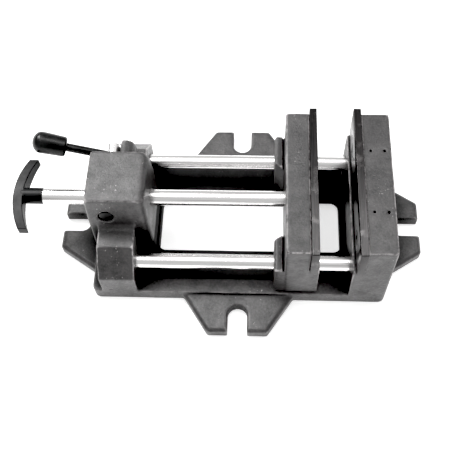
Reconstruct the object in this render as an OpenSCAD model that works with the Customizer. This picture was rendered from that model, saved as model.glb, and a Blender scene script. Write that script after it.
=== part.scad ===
// Machine vise with a quick-acting push rod and a cam lever.
// Frame: origin at the middle of the base's underside, +X towards the fixed jaw, +Z up.
// Units are millimetres. The model is drawn at rest: jaws part open, cam lever locked.

/* [Base] */
// Length of the rectangular base along X
base_len = 270; // [268:1:276]
// Width of the base along Y
base_w = 148; // [147:0.5:149]
// Thickness of the base
base_t = 15; // [14:0.1:15.2]
// Plan radius of the base's corners
base_r = 6; // [4:0.5:8]
// Left end of the window through the base
window_x0 = -76.6; // [-77:0.2:-70]
// Right end of the window through the base
window_x1 = 95.5; // [80:0.5:98]
// Half width of the window
window_half = 30; // [26:0.5:34]
// Radius of the window's corners
window_r = 7; // [4:0.5:10]

/* [Lugs] */
// Thickness of the four bolting lugs
lug_t = 11.5; // [10:0.5:13]
// Distance from the centre to the tip of each end lug
end_lug_reach = 171.6; // [168:0.2:178]
// Distance from the centre to the tip of each side lug
side_lug_reach = 110.4; // [108:0.1:114]
// Half width of a lug at its tip
lug_tip_half = 27.2; // [24:0.2:32]
// Half width of a lug where it meets the base
lug_root_half = 51; // [46:0.5:56]
// Bevel along the upper edges of a lug
lug_bevel = 3; // [1.5:0.5:4]
// Width of the U-shaped bolt slots
slot_w = 18; // [16:0.5:20]
// Distance from a lug's tip to the centre of the slot's round end
slot_depth = 17.2; // [14:0.2:20]

/* [Fixed jaw] */
// Height of both jaw castings
jaw_top = 94.3; // [90:0.1:96]
// Height of the ledges that the jaw plates stand on
ledge_z = 59.8; // [59.6:0.1:60]
// Seam between the fixed jaw and its plate
fixed_seam_x = 109.5; // [109:0.5:111]
// How far each ledge stands out past its plate's face
ledge_lip = 2.4; // [1:0.1:3]
// Half width of the castings at the top of the jaws
jaw_half = 71.6; // [70:0.1:72.4]

/* [Moving jaw] */
// Seam between the moving jaw and its plate, at rest
moving_seam_x = 63; // [60:0.5:66]
// Thickness of the moving jaw's upright
upright_t = 21.5; // [20:0.5:23]
// Length of the guide bosses behind the upright
boss_len = 9.2; // [7:0.2:11]
// Height of the guide bosses
boss_z = 58; // [56:0.5:59]
// Half width of the notch between the two guide bosses
notch_half = 35; // [30:0.5:38]
// Gap between the moving jaw's underside and the base
jaw_float = 0.6; // [0.4:0.1:1]

/* [Jaw plates] */
// Length of a jaw plate
plate_len = 150; // [148:0.5:152]
// Thickness of a jaw plate
plate_t = 6.5; // [6:0.1:7]
// Height of a jaw plate
plate_h = 38; // [36:0.2:39]
// Distance of each plate screw from the middle
screw_y = 45; // [35:0.5:55]
// Height of the plate screws
screw_z = 73.5; // [72:0.5:80]

/* [Guide rods and push rod] */
// Diameter of the two guide rods
guide_d = 13.8; // [12:0.1:15]
// Distance of each guide rod from the middle
guide_y = 53.6; // [52:0.1:55]
// Height of the guide rods
guide_z = 38.3; // [37:0.1:40]
// Diameter of the push rod
push_d = 15; // [14:0.1:15.2]
// Height of the push rod
push_z = 60.4; // [60:0.1:61]
// Left end of the bright part of the push rod
push_x0 = -180; // [-184:0.5:-176]
// Radial running clearance of every sliding or turning fit
run_gap = 0.05; // [0.02:0.01:0.1]

/* [Housing] */
// Left face of the clamp housing
housing_x0 = -134; // [-134.5:0.1:-133]
// Right face of the housing at its top
housing_x1 = -81.5; // [-83:0.1:-81]
// Half width of the housing at its top
housing_half = 26.6; // [26:0.1:27]
// Height of the housing
housing_top = 96.8; // [94:0.1:99]
// Left face of the shoulder blocks that hold the guide rods
shoulder_x0 = -125.5; // [-126:0.5:-125]
// Right face of the front shoulder block
front_shoulder_x1 = -92.6; // [-94:0.2:-92]
// Right face of the rear shoulder block
rear_shoulder_x1 = -88.6; // [-90:0.2:-88]

/* [Cam lever] */
// Place of the cam shaft along X
cam_x = -117; // [-117.5:0.1:-116.5]
// Height of the cam shaft
cam_z = 76; // [75.9:0.05:76.1]
// Diameter of the cam shaft
cam_d = 13; // [12.6:0.1:13.2]
// Offset of the clamping eccentric
cam_throw = 1.5; // [1.2:0.1:1.6]
// Distance of the lever from the middle plane
lever_y = 34.5; // [34.3:0.1:35.5]
// Diameter of the lever's rod
lever_d = 7.6; // [6:0.1:7.8]
// Angle of the lever above the horizontal, at rest
lever_rise = 19; // [15:1:22]
// Radius from the cam shaft to the near end of the grip
grip_start = 43; // [40:0.5:46]
// Length of the grip
grip_len = 30.5; // [26:0.5:34]

/* [T-handle] */
// Half width of the bow
bow_half = 37; // [34:0.5:40]
// Leftmost point of the bow
bow_x0 = -207; // [-209:0.5:-205]
// Thickness of the bow in plan
bow_t = 9; // [7:0.2:10]
// Radius of the bow's outer curve
bow_r = 83; // [70:1:100]

/* [Hidden] */

$fn = 96;
cut = 1;                                  // how far a cutter runs past a face
jaw_clear = 0.02;                         // gap round pressed and screwed pieces

base_x0 = -base_len / 2;
base_x1 = base_len / 2;
base_half = base_w / 2;

fixed_face_x = fixed_seam_x - plate_t;
fixed_ledge_x = fixed_face_x - ledge_lip;
moving_face_x = moving_seam_x + plate_t;
moving_ledge_x = moving_face_x + ledge_lip;
upright_x0 = moving_seam_x - upright_t;
boss_x0 = upright_x0 - boss_len;
jaw_floor = base_t + jaw_float;
jaw_corner = 1.6;                         // rounding of the jaws' top edges

housing_edge = 5;                         // rounding of the housing's top right edge
guide_x0 = shoulder_x0 + 0.8;
guide_x1 = base_x1 - 10;
guide_r = guide_d / 2;
push_r = push_d / 2;
push_x1 = upright_x0 + 15.4;
spigot_r = 5;                             // end of the push rod inside the T-handle
spigot_len = 14;
pin_r = 1.5;                              // roll pin through the stem and spigot
pin_x = push_x0 - 8;
pin_top = push_z + 4.6;
keeper_x = upright_x0 + 7.5;              // groove that holds the push rod in the jaw
groove_half = 2;
groove_depth = 1.8;

cam_r = cam_d / 2;
lobe_r = cam_r - cam_throw - 0.5;
lobe_half = 12;
shaft_y0 = -29.4;
shaft_y1 = 46;
shaft_keeper_y = -20;
shoe_x0 = cam_x - 9.8;
shoe_len = 19.6;
shoe_half = 10.3;
shoe_gap = 0.3;
shoe_lift = 1;                            // highest travel of the shoe
shoe_top = cam_z - lobe_r - cam_throw - 0.1;
shoe_z0 = push_z + 0.8;
insert_start = grip_start + 3;            // threaded insert inside the grip
insert_len = 15;

grub_r = 3;                               // set screws M6
small_grub_r = 2.5;                       // shaft keeper screw M5
plate_screw_r = 4;                        // plate screws M8
plate_screw_len = 20;
head_r = 7;
head_h = 3.6;
hex_plate = 5;                            // key sizes across flats
hex_grub = 3;

iron = [0.27, 0.27, 0.28];
ground = [0.42, 0.42, 0.43];
bright = [0.86, 0.86, 0.88];
black = [0.07, 0.07, 0.08];
brass = [0.75, 0.6, 0.3];

// Points of an arc from angle a0 to a1 about (cx, cy)
function arc(cx, cy, r, a0, a1, steps = 8) =
    [for (i = [0:steps]) let (a = a0 + (a1 - a0) * i / steps) [cx + r * cos(a), cy + r * sin(a)]];

function mirrored(points) = [for (i = [len(points) - 1:-1:0]) [-points[i][0], points[i][1]]];

module along_x(x0, x1) translate([x0, 0, 0]) rotate([90, 0, 90]) linear_extrude(x1 - x0) children();

module along_y(y0, y1) translate([0, y1, 0]) rotate([90, 0, 0]) linear_extrude(y1 - y0) children();

module rod_x(x0, x1, r) translate([x0, 0, 0]) rotate([0, 90, 0]) cylinder(h = x1 - x0, r = r);

module rod_y(y0, y1, r) translate([0, y0, 0]) rotate([-90, 0, 0]) cylinder(h = y1 - y0, r = r);

module rounded_rect(x0, x1, y0, y1, r) {
    translate([x0 + r, y0]) square([x1 - x0 - 2 * r, y1 - y0]);
    translate([x0, y0 + r]) square([x1 - x0, y1 - y0 - 2 * r]);
    for (x = [x0 + r, x1 - r], y = [y0 + r, y1 - r]) translate([x, y]) circle(r);
}

// A round bar along +Z with both ends chamfered
module chamfered_bar(len, r, c) {
    cylinder(h = c, r1 = r - c, r2 = r);
    translate([0, 0, c]) cylinder(h = len - 2 * c, r = r);
    translate([0, 0, len - c]) cylinder(h = c, r1 = r, r2 = r - c);
}

module hex_socket(across, depth) {
    translate([0, 0, -cut]) cylinder(h = depth + cut, r = across / sqrt(3), $fn = 6);
}

// A grub screw along +Z: socket at z = 0, dog point of radius tip_r at the far end
module grub(len, r, tip_r, tip_len) {
    difference() {
        union() {
            cylinder(h = 0.5, r1 = r - 0.5, r2 = r);
            translate([0, 0, 0.5]) cylinder(h = len - tip_len - 0.5, r = r);
            translate([0, 0, len - tip_len]) cylinder(h = tip_len, r = tip_r);
        }
        hex_socket(hex_grub, 3);
    }
}

/* Vise body ------------------------------------------------------------ */

// Plan outline of a lug that points along +Y, from inside the base to its tip
function lug_outline(tip_at, inset) =
    let (tip_r = 4, root_at = base_half, reach = tip_at - inset,
         lean = atan2(lug_root_half - lug_tip_half, tip_at - root_at),
         side = inset / cos(lean),
         inner = root_at - 20,
         spread = (lug_root_half - lug_tip_half) / (tip_at - root_at),
         at = function (y) lug_tip_half + (tip_at - y) * spread - side,
         cy = reach - tip_r,
         cx = at(cy) - tip_r / cos(lean))
    let (half = concat([[at(inner), inner]], arc(cx, cy, tip_r, lean, 90, 6)))
    concat(half, mirrored(half));

module lug(tip_at) {
    hull() {
        linear_extrude(lug_t - lug_bevel * 0.75) polygon(lug_outline(tip_at, 0));
        linear_extrude(lug_t) polygon(lug_outline(tip_at, lug_bevel));
    }
}

// A slot open at the tip of a lug that points along +Y, with a chamfered upper edge
module slot_cutter(tip_at) {
    edge = 1.2;
    slot_r = slot_w / 2;
    centre = tip_at - slot_depth;
    translate([0, centre, -cut]) cylinder(h = lug_t + 2 * cut, r = slot_r);
    translate([-slot_r, centre, -cut]) cube([slot_w, slot_depth + cut, lug_t + 2 * cut]);
    translate([0, centre, lug_t - edge]) cylinder(h = edge + cut, r1 = slot_r, r2 = slot_r + edge + cut);
    along_y(centre, tip_at + cut)
        polygon([[-slot_r, lug_t - edge], [slot_r, lug_t - edge],
                 [slot_r + edge + cut, lug_t + cut], [-slot_r - edge - cut, lug_t + cut]]);
}

// Lugs stand at both ends and both sides; the end ones reach from the base's ends
module at_lugs() {
    shift = base_x1 - base_half;
    for (turn = [0, 180]) rotate(turn) children(0);
    for (turn = [-90, 90]) rotate(turn) translate([0, shift, 0]) children(1);
}

module fixed_jaw_block() {
    rear_r = 5;
    edge = jaw_corner;
    half = concat([[base_half, cut], [base_half, base_t]],
                  arc(jaw_half - edge, jaw_top - edge, edge, 0, 90, 4));
    difference() {
        intersection() {
            linear_extrude(jaw_top) difference() {
                translate([fixed_ledge_x, -base_half]) square([base_x1 - fixed_ledge_x, base_w]);
                for (s = [-1, 1]) translate([base_x1 - rear_r, s * (base_half - rear_r)]) difference() {
                    translate([0, s > 0 ? 0 : -rear_r - cut]) square(rear_r + cut);
                    circle(rear_r);
                }
            }
            along_x(fixed_ledge_x, base_x1) polygon(concat(half, mirrored(half)));
        }
        translate([fixed_ledge_x - cut, -base_half, ledge_z])
            cube([fixed_seam_x - fixed_ledge_x + cut, base_w, jaw_top]);
    }
}

// How far an edge of radius r at the housing's top has drawn in at height z
function drawn_in(r, z) = let (d = z - housing_top + r) d <= 0 ? 0 : r - sqrt(r * r - d * d);

// The four corners of the housing at height z; the hull of all such levels is the housing
module housing_level(z, right_x, half) {
    left_r = 2.5;
    right_r = 5;
    edge = 2;
    thin = 0.01;
    y = half - drawn_in(edge, z);
    for (s = [-1, 1]) {
        translate([housing_x0 + drawn_in(edge, z) + left_r, s * (y - left_r), z - thin])
            cylinder(h = thin, r = left_r, $fn = 32);
        translate([right_x - drawn_in(housing_edge, z) - right_r, s * (y - right_r), z - thin])
            cylinder(h = thin, r = right_r, $fn = 32);
    }
}

module housing_block() {
    waist_z = 68;
    rim_z = housing_top - housing_edge;
    waist = housing_half + (housing_top - waist_z) * 0.16;
    foot_x = housing_x1 + 3.5;
    lean = (foot_x - housing_x1) / (rim_z - base_t);
    hull() {
        housing_level(cut, foot_x, waist + 2);
        housing_level(waist_z, housing_x1 + lean * (rim_z - waist_z), waist);
        for (a = [0:15:90]) housing_level(rim_z + housing_edge * sin(a), housing_x1, housing_half);
    }
}

// Shoulder block on the +Y side: upright outer face, long chamfer, fillet into the housing
module shoulder_block(x1) {
    flank_z = 39;
    top_z = 62;
    top_y = 52.5;
    fillet_r = 6;
    fillet_y = 31.2;
    along_x(shoulder_x0, x1)
        polygon(concat([[20, cut], [base_half, cut], [base_half, flank_z], [top_y, top_z]],
                       arc(fillet_y + fillet_r, top_z + fillet_r, fillet_r, 270, 180),
                       [[20, top_z + fillet_r]]));
}

// Cast ear beside the cam shaft that the open lever comes to rest against
module lever_stop() {
    along_y(25, 45)
        polygon([[-109.5, 60], [-109.1, 84.5], [-107.9, 87.3], [-105, 88], [-100.8, 86.8],
                 [-97.6, 83.6], [-96, 79], [-95.4, 60]]);
}

module body_bores() {
    translate([0, 0, push_z]) rod_x(housing_x0 - cut, window_x0, push_r + run_gap);
    for (s = [-1, 1]) translate([0, s * guide_y, guide_z])
        rod_x(shoulder_x0 - cut, guide_x1 + 0.5, guide_r + jaw_clear);
    for (x = [cam_x + 8, fixed_seam_x + 6], s = [-1, 1]) translate([x, s * guide_y, -cut])
        cylinder(h = guide_z, r = grub_r + jaw_clear);
    translate([cam_x, 0, cam_z]) {
        rod_y(-base_half, base_half, cam_r + run_gap);
        rod_y(-base_half, shaft_y0 + 0.6, cam_r + 0.9);
    }
    translate([0, shaft_keeper_y, cam_z]) rod_x(housing_x0 - cut, cam_x, small_grub_r + jaw_clear);
    translate([shoe_x0 - shoe_gap, -shoe_half - shoe_gap, -cut])
        cube([shoe_len + 2 * shoe_gap, 2 * (shoe_half + shoe_gap), shoe_top + shoe_lift + shoe_gap + cut]);
    for (s = [-1, 1]) translate([fixed_seam_x - cut, s * screw_y, screw_z])
        rod_x(0, plate_screw_len - plate_t + 2 * cut, plate_screw_r + jaw_clear);
    for (x = [116.5, 128.8], s = [-1, 1]) translate([x, s * 31.2, jaw_top - 5])
        cylinder(h = 5 + cut, r = 1.2);
}

module vise_body() {
    color(iron) difference() {
        union() {
            linear_extrude(base_t) rounded_rect(base_x0, base_x1, -base_half, base_half, base_r);
            at_lugs() {
                lug(side_lug_reach);
                lug(end_lug_reach - (base_x1 - base_half));
            }
            fixed_jaw_block();
            housing_block();
            shoulder_block(rear_shoulder_x1);
            mirror([0, 1, 0]) shoulder_block(front_shoulder_x1);
            lever_stop();
        }
        translate([0, 0, -cut]) linear_extrude(base_t + 2 * cut)
            rounded_rect(window_x0, window_x1, -window_half, window_half, window_r);
        at_lugs() {
            slot_cutter(side_lug_reach);
            slot_cutter(end_lug_reach - (base_x1 - base_half));
        }
        body_bores();
    }
}

/* Guide rods and their screws ------------------------------------------ */

module guide_rod(side) {
    color(bright) translate([guide_x0, side * guide_y, guide_z]) rotate([0, 90, 0])
        chamfered_bar(guide_x1 - guide_x0, guide_r, 1);
}

module guide_rod_front() { guide_rod(-1); }

module guide_rod_rear() { guide_rod(1); }

module rod_set_screws() {
    len = 14;
    color(black) for (x = [cam_x + 8, fixed_seam_x + 6], s = [-1, 1])
        translate([x, s * guide_y, guide_z - guide_r - len]) grub(len, grub_r, grub_r - 0.8, 1);
}

/* Jaw plates ------------------------------------------------------------ */

// A plate whose back face lies at x = 0 and whose working face lies at x = plate_t
module jaw_plate() {
    edge = 0.6;
    difference() {
        translate([0, 0, ledge_z]) intersection() {
            along_x(0, plate_t) polygon([
                [-plate_len / 2 + edge, 0], [plate_len / 2 - edge, 0], [plate_len / 2, edge],
                [plate_len / 2, plate_h - edge], [plate_len / 2 - edge, plate_h],
                [-plate_len / 2 + edge, plate_h], [-plate_len / 2, plate_h - edge],
                [-plate_len / 2, edge]]);
            along_y(-plate_len, plate_len) polygon([
                [0, 0], [plate_t, 0], [plate_t, plate_h - edge / 2],
                [plate_t - edge / 2, plate_h], [0, plate_h]]);
        }
        for (s = [-1, 1]) translate([0, s * screw_y, screw_z]) {
            rod_x(-cut, plate_t + cut, plate_screw_r + jaw_clear);
            translate([plate_t - head_h, 0, 0]) rotate([0, 90, 0])
                cylinder(h = head_h + cut, r1 = plate_screw_r, r2 = head_r + (head_r - plate_screw_r) / head_h * cut);
        }
    }
}

// Two countersunk socket screws, heads flush with a working face at x = plate_t
module plate_screws() {
    for (s = [-1, 1]) translate([plate_t, s * screw_y, screw_z]) rotate([0, -90, 0]) difference() {
        union() {
            cylinder(h = head_h, r1 = head_r - jaw_clear, r2 = plate_screw_r - jaw_clear);
            translate([0, 0, head_h]) cylinder(h = plate_screw_len - head_h, r = plate_screw_r - jaw_clear);
        }
        hex_socket(hex_plate, 2.6);
    }
}

module at_fixed_seam() translate([fixed_seam_x, 0, 0]) mirror([1, 0, 0]) children();

module at_moving_seam() translate([moving_seam_x, 0, 0]) children();

module fixed_jaw_plate() { color(ground) at_fixed_seam() jaw_plate(); }

module fixed_plate_screws() { color(black) at_fixed_seam() plate_screws(); }

module moving_jaw_plate() { color(ground) at_moving_seam() jaw_plate(); }

module moving_plate_screws() { color(black) at_moving_seam() plate_screws(); }

/* Moving jaw ------------------------------------------------------------ */

module jaw_profile() {
    boss_edge = 2.6;
    groove_w = 2;
    groove_z = boss_z - 3;
    polygon(concat(
        [[boss_x0, jaw_floor], [moving_ledge_x, jaw_floor], [moving_ledge_x, ledge_z],
         [moving_seam_x, ledge_z], [moving_seam_x, jaw_top]],
        arc(upright_x0 + jaw_corner, jaw_top - jaw_corner, jaw_corner, 90, 180, 4),
        [[upright_x0, groove_z], [upright_x0 - groove_w, groove_z], [upright_x0 - groove_w, boss_z]],
        arc(boss_x0 + boss_edge, boss_z - boss_edge, boss_edge, 90, 180, 4)));
}

// Opening between the guide bosses, with slanted cheeks
module boss_notch() {
    linear_extrude(boss_z + cut)
        polygon([[boss_x0 - cut, -notch_half - 5], [boss_x0 + 2, -notch_half - 4],
                 [upright_x0, -notch_half + 1], [upright_x0, notch_half - 1],
                 [boss_x0 + 2, notch_half + 4], [boss_x0 - cut, notch_half + 5]]);
}

module moving_jaw() {
    corner_r = 2.5;
    color(iron) difference() {
        intersection() {
            along_y(-jaw_half, jaw_half) jaw_profile();
            linear_extrude(jaw_top + cut) union() {
                rounded_rect(upright_x0, moving_ledge_x + corner_r + cut, -jaw_half, jaw_half, corner_r);
                rounded_rect(boss_x0, moving_seam_x, -jaw_half + 0.6, jaw_half - 0.6, corner_r);
            }
        }
        boss_notch();
        for (s = [-1, 1]) translate([0, s * guide_y, guide_z])
            rod_x(boss_x0 - cut, moving_ledge_x + cut, guide_r + run_gap);
        translate([0, 0, push_z]) rod_x(upright_x0 - cut, push_x1 + 2.3, push_r + run_gap);
        translate([keeper_x, 0, jaw_floor - cut]) cylinder(h = push_z - jaw_floor, r = grub_r + jaw_clear);
        for (s = [-1, 1]) translate([moving_seam_x + plate_t - plate_screw_len - cut, s * screw_y, screw_z])
            rod_x(0, plate_screw_len, plate_screw_r + jaw_clear);
    }
}

/* Push rod and T-handle -------------------------------------------------- */

module push_rod() {
    edge = 1;
    color(bright) difference() {
        translate([0, 0, push_z]) {
            rod_x(push_x0 - spigot_len, push_x0 + cut, spigot_r);
            rod_x(push_x0, keeper_x - groove_half, push_r);
            rod_x(keeper_x - groove_half - cut, keeper_x + groove_half + cut, push_r - groove_depth);
            rod_x(keeper_x + groove_half, push_x1 - edge, push_r);
            translate([push_x1 - edge, 0, 0]) rotate([0, 90, 0])
                cylinder(h = edge, r1 = push_r, r2 = push_r - edge);
        }
        handle_pin_bore();
    }
}

// The keeper screw's point runs in the push rod's groove, so the rod turns but can't pull out
module push_rod_keeper_screw() {
    tip_z = push_z - push_r + groove_depth - 0.3;
    len = 16;
    color(black) translate([keeper_x, 0, tip_z - len]) grub(len, grub_r, 1.7, 2.4);
}

// Hardened disc at the bottom of the blind bore, which the push rod bears on
module thrust_button() {
    color(bright) translate([push_x1 + 0.2, 0, push_z]) rod_x(0, 2, push_r - 0.1);
}

module handle_pin_bore() {
    translate([pin_x, 0, push_z - push_r - cut])
        cylinder(h = pin_top - push_z + push_r + cut, r = pin_r + jaw_clear);
}

// A curved crossbar, tallest at its middle, on a round stem
module t_handle() {
    mid_half = 7.2;
    end_half = 4.4;
    crown_r = (bow_half * bow_half + pow(mid_half - end_half, 2)) / (2 * (mid_half - end_half));
    crown = asin(bow_half / crown_r);
    sweep_out = asin(bow_half / bow_r);
    inner_r = bow_r + 2;
    sweep_in = asin(bow_half / inner_r);
    outer = arc(bow_x0 + bow_r, 0, bow_r, 180 - sweep_out, 180 + sweep_out, 16);
    inner = arc(bow_x0 + bow_t + inner_r, 0, inner_r, 180 + sweep_in, 180 - sweep_in, 16);
    color(black) difference() {
        union() {
            intersection() {
                translate([0, 0, push_z - mid_half - cut]) linear_extrude(2 * (mid_half + cut))
                    polygon(concat(outer, inner));
                along_x(bow_x0 - cut, push_x0) translate([0, push_z]) polygon(concat(
                    arc(0, mid_half - crown_r, crown_r, 90 - crown, 90 + crown, 12),
                    arc(0, crown_r - mid_half, crown_r, 270 - crown, 270 + crown, 12)));
            }
            translate([0, 0, push_z]) rod_x(bow_x0 + bow_t - 2, push_x0, push_r);
        }
        translate([0, 0, push_z]) rod_x(push_x0 - spigot_len - 0.5, push_x0 + cut, spigot_r + jaw_clear);
        handle_pin_bore();
    }
}

module handle_roll_pin() {
    slit = 0.5;
    color(black) translate([pin_x, 0, push_z - push_r + 0.3]) difference() {
        cylinder(h = pin_top - push_z + push_r - 0.5, r = pin_r);
        translate([0, 0, -cut]) cylinder(h = pin_top, r = pin_r - 0.5);
        translate([0, -slit / 2, -cut]) cube([pin_r + cut, slit, pin_top]);
    }
}

/* Cam shaft, shoe and lever ---------------------------------------------- */

// Children are drawn along +Z from the cam shaft's axis out through the lever
module on_lever() translate([cam_x, lever_y, cam_z]) rotate([0, lever_rise - 90, 0]) children();

module lever_hole(r) on_lever() translate([0, 0, -2]) cylinder(h = cam_r + 2 + cut, r = r);

module cam_shaft() {
    edge = 0.8;
    color(bright) difference() {
        translate([cam_x, 0, cam_z]) {
            translate([0, shaft_y0, 0]) rotate([-90, 0, 0]) cylinder(h = edge, r1 = cam_r - edge, r2 = cam_r);
            rod_y(shaft_y0 + edge, shaft_keeper_y - groove_half, cam_r);
            rod_y(shaft_keeper_y - groove_half - cut, shaft_keeper_y + groove_half + cut, cam_r - 1.2);
            rod_y(shaft_keeper_y + groove_half, -lobe_half, cam_r);
            translate([0, 0, -cam_throw]) rod_y(-lobe_half - cut, lobe_half + cut, lobe_r);
            rod_y(lobe_half, shaft_y1 - edge, cam_r);
            translate([0, shaft_y1 - edge, 0]) rotate([-90, 0, 0]) cylinder(h = edge, r1 = cam_r, r2 = cam_r - edge);
        }
        lever_hole(lever_d / 2 + jaw_clear);
    }
}

// Holds the cam shaft endwise by a groove
module shaft_keeper_screw() {
    tip_x = cam_x - cam_r + 0.9;
    len = 9;
    color(black) translate([tip_x - len, shaft_keeper_y, cam_z]) rotate([0, 90, 0])
        grub(len, small_grub_r, 1.6, 1.6);
}

// Saddle between the eccentric and the push rod
module clamp_shoe() {
    color(ground) difference() {
        translate([shoe_x0, -shoe_half, shoe_z0]) cube([shoe_len, 2 * shoe_half, shoe_top - shoe_z0]);
        translate([0, 0, push_z]) rod_x(shoe_x0 - cut, shoe_x0 + shoe_len + cut, push_r + run_gap);
    }
}

module lever_rod() {
    color(black) on_lever() translate([0, 0, -1.8])
        chamfered_bar(insert_start + insert_len + 1, lever_d / 2, 0.8);
}

module grip_insert() {
    color(brass) on_lever() translate([0, 0, insert_start]) difference() {
        cylinder(h = insert_len, r = lever_d / 2 + 1.6);
        translate([0, 0, -cut]) cylinder(h = insert_len + 2 * cut, r = lever_d / 2 + jaw_clear);
    }
}

// Tapered grip, fuller at its rounded free end
module lever_grip() {
    near_r = 9.2;
    far_r = 9.9;
    near_edge = 2.6;
    cap = 8;
    color(black) on_lever() translate([0, 0, grip_start]) difference() {
        rotate_extrude() polygon(concat(
            [[0, 0]],
            arc(near_r - near_edge, near_edge, near_edge, 270, 360, 6),
            [for (a = [0:15:90]) [far_r * cos(a), grip_len - cap + cap * sin(a)]]));
        translate([0, 0, -cut]) cylinder(h = 3 + 2 * cut, r = lever_d / 2 + 0.3);
        translate([0, 0, 3]) cylinder(h = insert_len + 1, r = lever_d / 2 + 1.6 + jaw_clear);
    }
}

vise_body();
guide_rod_front();
guide_rod_rear();
rod_set_screws();
fixed_jaw_plate();
fixed_plate_screws();
moving_jaw();
moving_jaw_plate();
moving_plate_screws();
push_rod();
push_rod_keeper_screw();
thrust_button();
t_handle();
handle_roll_pin();
cam_shaft();
shaft_keeper_screw();
clamp_shoe();
lever_rod();
grip_insert();
lever_grip();
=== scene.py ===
"""Looks of a quick-acting machine vise: castings, ground plates, bright rods, black handle and grip.

Every size is in metres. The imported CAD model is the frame; each visible CAD part is
replaced by a finer mesh made from it, or keeps its own mesh with a finished material.
"""

import math

import bmesh
import bpy
import numpy as np
from mathutils import Matrix, Vector, noise


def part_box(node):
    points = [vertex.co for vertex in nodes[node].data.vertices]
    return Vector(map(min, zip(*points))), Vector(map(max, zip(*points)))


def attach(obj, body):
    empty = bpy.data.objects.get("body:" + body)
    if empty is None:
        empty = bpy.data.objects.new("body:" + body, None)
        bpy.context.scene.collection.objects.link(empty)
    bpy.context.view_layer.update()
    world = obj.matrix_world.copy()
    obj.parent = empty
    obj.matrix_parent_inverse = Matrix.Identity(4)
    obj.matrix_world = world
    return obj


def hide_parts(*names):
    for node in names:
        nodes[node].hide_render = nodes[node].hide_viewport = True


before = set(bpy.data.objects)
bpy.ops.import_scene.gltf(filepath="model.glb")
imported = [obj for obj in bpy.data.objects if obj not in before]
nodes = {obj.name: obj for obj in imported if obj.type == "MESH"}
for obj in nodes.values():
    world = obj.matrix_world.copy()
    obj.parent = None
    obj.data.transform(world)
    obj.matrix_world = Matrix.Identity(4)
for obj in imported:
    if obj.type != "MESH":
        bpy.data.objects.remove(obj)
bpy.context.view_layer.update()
scene = bpy.context.scene

MM = 0.001
COAT = 0.042                 # mean albedo of the charcoal coat
PAINTED_SHADE_ALBEDO = 0.003                # albedo of the shade painted into corners and the bay
WARM = (1.03, 0.985, 0.99)   # tint of coat, wear and dust
SKY = 0.6                    # the white room's glow
FLOOR_GLOW = 0.52            # the lit backdrop's own glow
BLACK_POINT = 0.04           # scene light that prints as black


# ---------------------------------------------------------------- node helpers


class Shader:
    """A material's node tree, with one short call for each kind of node."""

    def __init__(self, name):
        self.material = bpy.data.materials.new(name)
        self.material.use_nodes = True
        self.tree = self.material.node_tree
        self.bsdf = self.tree.nodes["Principled BSDF"]
        self.place = self.add("ShaderNodeTexCoord").outputs["Object"]

    def add(self, kind, **settings):
        made = self.tree.nodes.new(kind)
        for key, value in settings.items():
            setattr(made, key, value)
        return made

    def put(self, value, socket):
        if isinstance(value, bpy.types.NodeSocket):
            self.tree.links.new(value, socket)
        else:
            socket.default_value = value

    def set(self, socket, value):
        self.put(value, self.bsdf.inputs[socket])

    def stretch(self, scale):
        made = self.add("ShaderNodeMapping")
        self.put(self.place, made.inputs["Vector"])
        made.inputs["Scale"].default_value = scale
        return made.outputs["Vector"]

    def along(self, axis):
        """The object coordinate along one axis."""
        made = self.add("ShaderNodeSeparateXYZ")
        self.put(self.place, made.inputs[0])
        return made.outputs[axis]

    def noise(self, size, detail=4.0, rough=0.55, place=None, distortion=0.0):
        """Noise whose blotches are about `size` across."""
        made = self.add("ShaderNodeTexNoise")
        self.put(place or self.place, made.inputs["Vector"])
        made.inputs["Scale"].default_value = 1.0 / size
        made.inputs["Detail"].default_value = detail
        made.inputs["Roughness"].default_value = rough
        made.inputs["Distortion"].default_value = distortion
        return made.outputs["Fac"]

    def span(self, value, low, high, to_low=0.0, to_high=1.0):
        """Maps low..high to to_low..to_high, clamped."""
        made = self.add("ShaderNodeMapRange")
        for name, number in zip(("From Min", "From Max", "To Min", "To Max"), (low, high, to_low, to_high)):
            made.inputs[name].default_value = number
        self.put(value, made.inputs["Value"])
        return made.outputs["Result"]

    def math(self, how, a, b=0.0):
        made = self.add("ShaderNodeMath", operation=how)
        self.put(a, made.inputs[0])
        self.put(b, made.inputs[1])
        return made.outputs[0]

    def blend(self, factor, a, b):
        made = self.add("ShaderNodeMix", data_type="RGBA")
        self.put(factor, made.inputs[0])
        self.put(a, made.inputs[6])
        self.put(b, made.inputs[7])
        return made.outputs[2]

    def edges(self, low, high):
        """1 on convex edges, 0 on flats."""
        return self.span(self.add("ShaderNodeNewGeometry").outputs["Pointiness"], low, high)

    def corner_shade(self, reach, closed, open_air):
        """1 deep inside the object's own corners and pockets, where shade falls, as a mask for painted
        shade; 0 in the open.
        """
        made = self.add("ShaderNodeAmbientOcclusion", samples=8, only_local=True)
        made.inputs["Distance"].default_value = reach
        return self.span(made.outputs["AO"], closed, open_air, 1.0, 0.0)

    def bump(self, height, distance, strength=1.0, below=None):
        made = self.add("ShaderNodeBump")
        made.inputs["Distance"].default_value = distance
        made.inputs["Strength"].default_value = strength
        self.put(height, made.inputs["Height"])
        if below is not None:
            self.put(below, made.inputs["Normal"])
        return made.outputs["Normal"]


def grey(value, tint=(1.0, 1.0, 1.0)):
    return tuple(value * t for t in tint) + (1.0,)


# ---------------------------------------------------------------- materials


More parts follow.
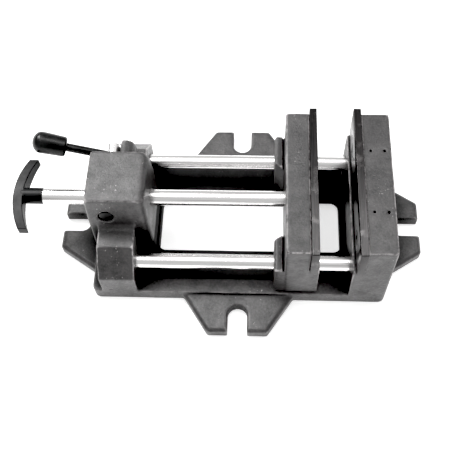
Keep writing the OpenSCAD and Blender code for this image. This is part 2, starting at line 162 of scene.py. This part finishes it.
def cast_iron(name, shaded_bay=None):
    """Semi-gloss charcoal coat over sand-cast iron: grainy, cloudy, chipped bright along its edges, with
    shade painted near-black into its corners.

    shaded_bay: low and high corner of a space whose surfaces get painted shade, a near-black colour and a
    dull finish.
    """
    s = Shader(name)
    grain = s.noise(0.7 * MM, 3.0, 0.6)
    sand = s.noise(2.2 * MM, 5.0, 0.65)
    blotch = s.noise(14 * MM, 4.0, 0.6)
    cloud = s.noise(60 * MM, 3.0, 0.5)
    tone = s.math("ADD", s.span(sand, 0.3, 0.7, -0.3, 0.3), s.span(blotch, 0.3, 0.7, -0.35, 0.35))
    tone = s.math("ADD", tone, s.span(cloud, 0.35, 0.65, -0.15, 0.15))
    coat = s.blend(s.span(tone, -0.6, 0.6), grey(COAT * 0.3, WARM), grey(COAT * 2.0, WARM))
    worn = s.span(s.noise(9 * MM, 6.0, 0.75), 0.38, 0.58)
    worn = s.math("MULTIPLY", worn, s.span(s.along(2), 30 * MM, 60 * MM, 0.35, 1.0))
    coat = s.blend(s.math("MULTIPLY", s.edges(0.516, 0.545), worn), coat, grey(0.60, WARM))
    chipped_area = s.span(s.noise(26 * MM, 2.0), 0.56, 0.62)
    chip = s.math("MULTIPLY", s.span(s.noise(2.0 * MM, 2.0, 0.5), 0.68, 0.72), chipped_area)
    coat = s.blend(s.math("MULTIPLY", chip, 0.8), coat, grey(0.45, WARM))
    # painted shade: the coat turns near-black and dull in the object's own corners and pockets, where shade
    # falls
    painted_shade = s.math("MULTIPLY", s.corner_shade(45 * MM, 0.58, 0.88), 1.0 if shaded_bay else 0.4)
    # painted shade: the whole bay under the rods is darkened the same way, as the shadow there
    if shaded_bay:
        inside = 0.8
        for axis, (low, high) in enumerate(zip(*shaded_bay)):
            along = s.along(axis)
            inside = s.math("MULTIPLY", inside, s.span(along, low - 2 * MM, low + 1 * MM))
            inside = s.math("MULTIPLY", inside, s.span(along, high - 1 * MM, high + 2 * MM, 1.0, 0.0))
        painted_shade = s.math("MAXIMUM", painted_shade, inside)
    s.set("Base Color", s.blend(painted_shade, coat, grey(PAINTED_SHADE_ALBEDO)))
    rough = s.span(tone, -0.6, 0.6, 0.50, 0.27)
    s.set("Roughness", s.math("MAXIMUM", rough, s.span(painted_shade, 0.0, 1.0, 0.3, 1.0)))
    s.set("Specular IOR Level", 0.9)
    height = s.math("ADD", s.math("MULTIPLY", grain, 0.5), s.math("MULTIPLY", sand, 0.9))
    s.set("Normal", s.bump(height, 0.40 * MM, 0.9, s.bump(blotch, 0.9 * MM, 0.5)))
    return s.material


def ground_steel(name):
    """Blued and ground plate: dark, finely lined, stained, with bright nicked corners."""
    s = Shader(name)
    lines = s.noise(0.5 * MM, 4.0, 0.7, s.stretch((1.0, 0.02, 1.0)))
    stain = s.noise(16 * MM, 4.0, 0.6)
    base = s.blend(s.span(lines, 0.35, 0.65), grey(0.050), grey(0.085, WARM))
    base = s.blend(s.span(stain, 0.55, 0.72), base, grey(0.16, WARM))
    nick = s.math("MULTIPLY", s.edges(0.54, 0.62), s.span(s.noise(5 * MM, 5.0, 0.7), 0.60, 0.68))
    s.set("Base Color", s.blend(nick, base, grey(0.45, WARM)))
    s.set("Metallic", 0.9)
    s.set("Roughness", s.span(stain, 0.3, 0.7, 0.36, 0.24))
    s.set("Normal", s.bump(lines, 0.02 * MM, 0.5))
    return s.material


def bright_rod(name, axis, painted_below=None):
    """Ground and polished bar: mirror-like, with grey streaks of wear drawn along its length.

    painted_below: the bar's end below this coordinate along its axis is painted over with the casting.
    """
    s = Shader(name)
    thin = [1.0, 1.0, 1.0]
    thin[axis] = 0.012
    streak = s.noise(1.6 * MM, 4.0, 0.6, s.stretch(tuple(thin)))
    smear = s.noise(22 * MM, 3.0, 0.6)
    base = s.blend(s.span(streak, 0.54, 0.70), grey(0.94, (1.0, 0.99, 0.985)), grey(0.60, WARM))
    spot = s.math("MULTIPLY", s.span(s.noise(2.2 * MM, 5.0, 0.7), 0.68, 0.76), s.span(smear, 0.55, 0.62))
    base = s.blend(spot, base, grey(0.35, WARM))
    rough = s.math("ADD", s.span(smear, 0.3, 0.7, 0.15, 0.19), s.span(streak, 0.4, 0.7, 0.0, 0.06))
    if painted_below is None:
        s.set("Metallic", 1.0)
    else:
        bare = s.span(s.along(axis), painted_below, painted_below + 0.5 * MM)
        base = s.blend(bare, grey(COAT * 0.5), base)
        rough = s.math("MAXIMUM", rough, s.span(bare, 0.0, 1.0, 0.5, 0.0))
        s.set("Metallic", bare)
    s.set("Base Color", base)
    s.set("Roughness", rough)
    s.set("Normal", s.bump(streak, 0.01 * MM, 0.3))
    return s.material


def black_plastic(name):
    """Smooth moulded grip, dusty in places."""
    s = Shader(name)
    skin = s.noise(0.9 * MM, 3.0, 0.5)
    dust = s.noise(9 * MM, 5.0, 0.65)
    s.set("Base Color", s.blend(s.span(dust, 0.45, 0.75), grey(0.010), grey(0.022)))
    s.set("Roughness", s.span(dust, 0.35, 0.7, 0.24, 0.42))
    s.set("Normal", s.bump(skin, 0.03 * MM, 0.4))
    return s.material


def black_casting(name):
    """Black satin paint over a small casting, rubbed on its edges by hands."""
    s = Shader(name)
    sand = s.noise(1.2 * MM, 5.0, 0.6)
    blotch = s.noise(10 * MM, 4.0, 0.6)
    coat = s.blend(s.span(blotch, 0.35, 0.7), grey(0.010), grey(0.020, (1.0, 1.0, 1.03)))
    rub = s.math("MULTIPLY", s.edges(0.54, 0.60), s.span(s.noise(3 * MM, 5.0, 0.7), 0.5, 0.65))
    s.set("Base Color", s.blend(s.math("MULTIPLY", rub, 0.4), coat, grey(0.20)))
    s.set("Roughness", s.span(blotch, 0.3, 0.7, 0.46, 0.36))
    s.set("Specular IOR Level", 0.35)
    s.set("Normal", s.bump(sand, 0.08 * MM, 0.5))
    return s.material


def black_oxide(name):
    """Blackened screws and lever rod."""
    s = Shader(name)
    haze = s.noise(3 * MM, 4.0, 0.6)
    s.set("Base Color", s.blend(s.span(haze, 0.35, 0.65), grey(0.020), grey(0.045)))
    s.set("Metallic", 0.6)
    s.set("Roughness", s.span(haze, 0.3, 0.7, 0.30, 0.45))
    s.set("Normal", s.bump(haze, 0.03 * MM, 0.5))
    return s.material


def machined_steel(name):
    """Bare steel with fine tool marks."""
    s = Shader(name)
    turned = s.noise(0.4 * MM, 3.0, 0.6, s.stretch((1.0, 0.05, 1.0)))
    s.set("Base Color", s.blend(s.span(turned, 0.35, 0.65), grey(0.45), grey(0.60)))
    s.set("Metallic", 1.0)
    s.set("Roughness", 0.32)
    s.set("Normal", s.bump(turned, 0.02 * MM, 0.5))
    return s.material


def brass(name):
    """Dull brass."""
    s = Shader(name)
    haze = s.noise(2 * MM, 4.0, 0.6)
    s.set("Base Color", s.blend(s.span(haze, 0.35, 0.65), (0.52, 0.36, 0.12, 1.0), (0.62, 0.45, 0.18, 1.0)))
    s.set("Metallic", 1.0)
    s.set("Roughness", s.span(haze, 0.3, 0.7, 0.25, 0.40))
    return s.material


# ---------------------------------------------------------------- mesh helpers


def own_mesh(node):
    """A welded copy of a CAD node's mesh, as a bmesh."""
    bm = bmesh.new()
    bm.from_mesh(nodes[node].data)
    bmesh.ops.remove_doubles(bm, verts=bm.verts, dist=0.002 * MM)
    return bm


def new_object(name, bm):
    mesh = bpy.data.meshes.new(name)
    bm.to_mesh(mesh)
    bm.free()
    made = bpy.data.objects.new(name, mesh)
    scene.collection.objects.link(made)
    return made


def applied(made):
    """Bakes an object's modifiers into its mesh."""
    graph = bpy.context.evaluated_depsgraph_get()
    mesh = bpy.data.meshes.new_from_object(made.evaluated_get(graph))
    made.modifiers.clear()
    old = made.data
    made.data = mesh
    bpy.data.meshes.remove(old)
    return made


def stand_in(made, node, body, material):
    """made takes the place of a CAD node, on that node's body."""
    made.data.materials.clear()
    made.data.materials.append(material)
    made.data.polygons.foreach_set("use_smooth", [True] * len(made.data.polygons))
    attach(made, body)
    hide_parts(node)


def softened(node, name, voxel, rounds):
    """The CAD node's shape with soft, cast edges."""
    made = new_object(name, own_mesh(node))
    remesh = made.modifiers.new("skin", "REMESH")
    remesh.mode = "VOXEL"
    remesh.voxel_size = voxel
    smooth = made.modifiers.new("soften", "SMOOTH")
    smooth.factor = 0.5
    smooth.iterations = rounds
    return applied(made)


def bevelled(node, name, width):
    """The CAD node's shape with its sharp edges broken."""
    bm = own_mesh(node)
    bmesh.ops.dissolve_limit(bm, angle_limit=math.radians(1.5), verts=bm.verts, edges=bm.edges)
    made = new_object(name, bm)
    bevel = made.modifiers.new("break_edges", "BEVEL")
    bevel.width = width
    bevel.segments = 3
    bevel.limit_method = "ANGLE"
    bevel.angle_limit = math.radians(30)
    bevel.harden_normals = True
    weighted = made.modifiers.new("flat_faces", "WEIGHTED_NORMAL")
    weighted.keep_sharp = True
    return applied(made)


def corner_arrays(mesh):
    """A mesh's points, vertex normals and edges as arrays."""
    points = np.empty(len(mesh.vertices) * 3)
    normals = np.empty(len(mesh.vertices) * 3)
    edges = np.empty(len(mesh.edges) * 2, dtype=np.int64)
    mesh.vertices.foreach_get("co", points)
    mesh.vertex_normals.foreach_get("vector", normals)
    mesh.edges.foreach_get("vertices", edges)
    return points.reshape(-1, 3), normals.reshape(-1, 3), edges.reshape(-1, 2)


def put_points(mesh, points):
    mesh.vertices.foreach_set("co", points.ravel())
    mesh.update()


def fill_hollows(made, voxel, fillet, rounds):
    """Rounds out inner corners up to a radius, as a foundry's fillets do; the rest stays."""
    mesh = made.data
    limit = voxel * voxel / (4 * fillet)
    for _ in range(rounds):
        points, normals, edges = corner_arrays(mesh)
        a, b = edges.T
        count = len(points)
        degree = np.bincount(a, minlength=count) + np.bincount(b, minlength=count)
        mean = np.empty_like(points)
        for k in range(3):
            total = np.bincount(a, points[b, k], count) + np.bincount(b, points[a, k], count)
            mean[:, k] = total / degree
        rise = np.einsum("ij,ij->i", mean - points, normals)
        share = np.clip((rise - limit) / limit, 0.0, 1.0)
        put_points(mesh, points + normals * (0.9 * rise * share)[:, None])


def unevenness(made, size, height):
    """Pushes every point along its normal by smooth noise: no sand casting is quite flat."""
    points, normals, _ = corner_arrays(made.data)
    push = np.array([noise.noise(Vector(p) / size) for p in points])
    put_points(made.data, points + normals * (push * height)[:, None])


def dent(made, centre, radii, depth):
    """Presses an oval hollow into a surface: a casting pit or a nick."""
    points, normals, _ = corner_arrays(made.data)
    far = np.linalg.norm((points - np.array(centre)) / np.array(radii), axis=1)
    sink = depth * np.clip(1.0 - far * far, 0.0, 1.0)
    put_points(made.data, points - normals * sink[:, None])


def drilled(made, holes, radius, depth):
    """Cuts clean vertical holes down from each (x, y, z)."""
    bm = bmesh.new()
    for x, y, z in holes:
        place = Matrix.Translation((x, y, z - depth / 2 + 1 * MM))
        bmesh.ops.create_cone(bm, cap_ends=True, segments=32, radius1=radius, radius2=radius,
                              depth=depth + 2 * MM, matrix=place)
    cutter = new_object("hole_cutter", bm)
    bore = made.modifiers.new("drill", "BOOLEAN")
    bore.operation = "DIFFERENCE"
    bore.solver = "MANIFOLD"
    bore.object = cutter
    applied(made)
    bpy.data.objects.remove(cutter)


# ---------------------------------------------------------------- the vise


rod_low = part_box("guide_rod_front")[0]
bay_half = -rod_low.y                    # the bay reaches out to the front faces of the rods
bay_x0, bay_x1 = -85 * MM, 99 * MM       # from the housing's foot to the ledge under the fixed jaw
# the bay's floor under and between the rods gets painted shade in the body's coat
bay = ((bay_x0, -bay_half, 2 * MM), (bay_x1, bay_half, rod_low.z))
iron = cast_iron("cast_iron_coat")
iron_body = cast_iron("cast_iron_body", bay)
steel_plate = ground_steel("ground_plate")
rod_bright = bright_rod("rod_bright", 0)
shaft_bright = bright_rod("shaft_bright", 1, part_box("cam_shaft")[0].y + 2 * MM)
plastic = black_plastic("black_plastic")
handle_paint = black_casting("handle_black")
oxide = black_oxide("black_oxide")
machined = machined_steel("machined_steel")
insert_brass = brass("insert_brass")


def make_body():
    """The base casting, with its two pits at the front and the four nameplate holes drilled clean."""
    voxel = 0.9 * MM
    body = softened("vise_body", "body_casting", voxel, 4)
    fill_hollows(body, voxel, 3.5 * MM, 40)
    unevenness(body, 22 * MM, 0.12 * MM)
    base_front = -74 * MM
    dent(body, (-117 * MM, base_front, 18 * MM), (2.4 * MM, 3 * MM, 1.0 * MM), 0.7 * MM)
    dent(body, (109.6 * MM, base_front, 24 * MM), (1.0 * MM, 3 * MM, 1.0 * MM), 0.6 * MM)
    jaw_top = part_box("fixed_jaw_plate")[0].z + 34.5 * MM
    holes = [(x * MM, y * MM, jaw_top) for x in (116.5, 128.8) for y in (-31.2, 31.2)]
    drilled(body, holes, 1.25 * MM, 5 * MM)
    stand_in(body, "vise_body", "vise_body", iron_body)


def make_moving_jaw():
    """The sliding casting, with one small pit near its lower front edge."""
    voxel = 0.8 * MM
    jaw = softened("moving_jaw", "moving_jaw_casting", voxel, 4)
    fill_hollows(jaw, voxel, 2.5 * MM, 25)
    unevenness(jaw, 22 * MM, 0.10 * MM)
    dent(jaw, (69 * MM, -71.6 * MM, 23 * MM), (0.9 * MM, 3 * MM, 0.9 * MM), 0.6 * MM)
    stand_in(jaw, "moving_jaw", "moving_jaw", iron)


def make_handles():
    """The cast T-handle and the moulded lever grip."""
    voxel = 0.4 * MM
    bow = softened("t_handle", "t_handle_casting", voxel, 5)
    fill_hollows(bow, voxel, 2.0 * MM, 25)
    unevenness(bow, 8 * MM, 0.05 * MM)
    stand_in(bow, "t_handle", "push_rod", handle_paint)
    grip = softened("lever_grip", "grip_moulding", 0.35 * MM, 5)
    stand_in(grip, "lever_grip", "cam_lever", plastic)


def machined_pieces():
    """Pieces cut from bar or plate keep their CAD shape, with their sharp edges broken."""
    table = (
        ("guide_rod_front", "vise_body", 0.30, rod_bright),
        ("guide_rod_rear", "vise_body", 0.30, rod_bright),
        ("push_rod", "push_rod", 0.25, rod_bright),
        ("cam_shaft", "cam_lever", 0.20, shaft_bright),
        ("fixed_jaw_plate", "vise_body", 0.35, steel_plate),
        ("moving_jaw_plate", "moving_jaw", 0.35, steel_plate),
        ("fixed_plate_screws", "vise_body", 0.12, oxide),
        ("moving_plate_screws", "moving_jaw", 0.12, oxide),
        ("rod_set_screws", "vise_body", 0.12, oxide),
        ("shaft_keeper_screw", "vise_body", 0.10, oxide),
        ("push_rod_keeper_screw", "moving_jaw", 0.12, oxide),
        ("lever_rod", "cam_lever", 0.20, oxide),
        ("clamp_shoe", "clamp_shoe", 0.30, machined),
        ("thrust_button", "moving_jaw", 0.20, machined),
    )
    for node, body, width, material in table:
        stand_in(bevelled(node, f"{node}_finished", width * MM), node, body, material)


def dress(node, material):
    """Finishes a CAD piece that keeps its own mesh."""
    mesh = nodes[node].data
    mesh.materials.clear()
    mesh.materials.append(material)


make_body()
make_moving_jaw()
make_handles()
machined_pieces()
dress("handle_roll_pin", oxide)
dress("grip_insert", insert_brass)


# ---------------------------------------------------------------- studio


def backlit_paper(name):
    s = Shader(name)
    s.set("Base Color", grey(0.92))
    s.set("Roughness", 0.9)
    s.set("Emission Color", grey(1.0))
    s.set("Emission Strength", FLOOR_GLOW)
    return s.material


def make_floor():
    """White paper, just under the base so that the two don't flicker."""
    bm = bmesh.new()
    bmesh.ops.create_grid(bm, x_segments=1, y_segments=1, size=12.0)
    floor = new_object("floor", bm)
    floor.location.z = -0.1 * MM
    floor.data.materials.append(backlit_paper("floor_white"))


def softbox(name, turn, rise, far, width, depth, glow):
    """A light panel aimed at the vise; turn counts from the front towards +X, rise from the floor.

    far: metres to the vise. glow: the panel's radiance, where the sky's is SKY.
    """
    aim = Vector((0.0, 0.0, 50 * MM))
    turn, rise = math.radians(turn), math.radians(rise)
    away = Vector((math.sin(turn) * math.cos(rise), -math.cos(turn) * math.cos(rise), math.sin(rise)))
    light = bpy.data.lights.new(name, "AREA")
    light.shape = "RECTANGLE"
    light.size = width
    light.size_y = depth
    light.energy = glow * math.pi * width * depth
    made = bpy.data.objects.new(name, light)
    made.location = aim + away * far
    made.rotation_euler = (-away).to_track_quat("-Z", "Y").to_euler()
    scene.collection.objects.link(made)


def make_studio():
    """A white tent, with a strong light panel behind on the left and weaker ones above and right."""
    make_floor()
    softbox("left_rear", -130, 50, 1.5, 0.6, 0.6, 11.0)
    softbox("overhead", -150, 80, 1.5, 1.0, 0.8, 2.4)
    softbox("tent", 180, 80, 1.8, 4.0, 2.6, 0.30)
    softbox("right_rear", 112, 64, 1.5, 0.6, 0.6, 2.5)
    world = bpy.data.worlds.new("studio")
    world.use_nodes = True
    backdrop = world.node_tree.nodes["Background"].inputs
    backdrop["Color"].default_value = grey(1.0)
    backdrop["Strength"].default_value = SKY
    scene.world = world
    scene.view_settings.view_transform = "Standard"
    scene.view_settings.use_curve_mapping = True
    curves = scene.view_settings.curve_mapping
    curves.black_level = (BLACK_POINT,) * 3
    curves.update()


def make_camera():
    """High in front of the vise and a little to its right, looking down on it."""
    camera = bpy.data.cameras.new("camera")
    camera.sensor_width = 36.0
    camera.lens = 61.56
    camera.clip_start = 0.01
    made = bpy.data.objects.new("camera", camera)
    made.location = (0.0208, -0.3564, 0.6659)
    made.rotation_euler = (0.49843, 0.03434, 0.03604)
    scene.collection.objects.link(made)
    scene.camera = made


make_studio()
make_camera()
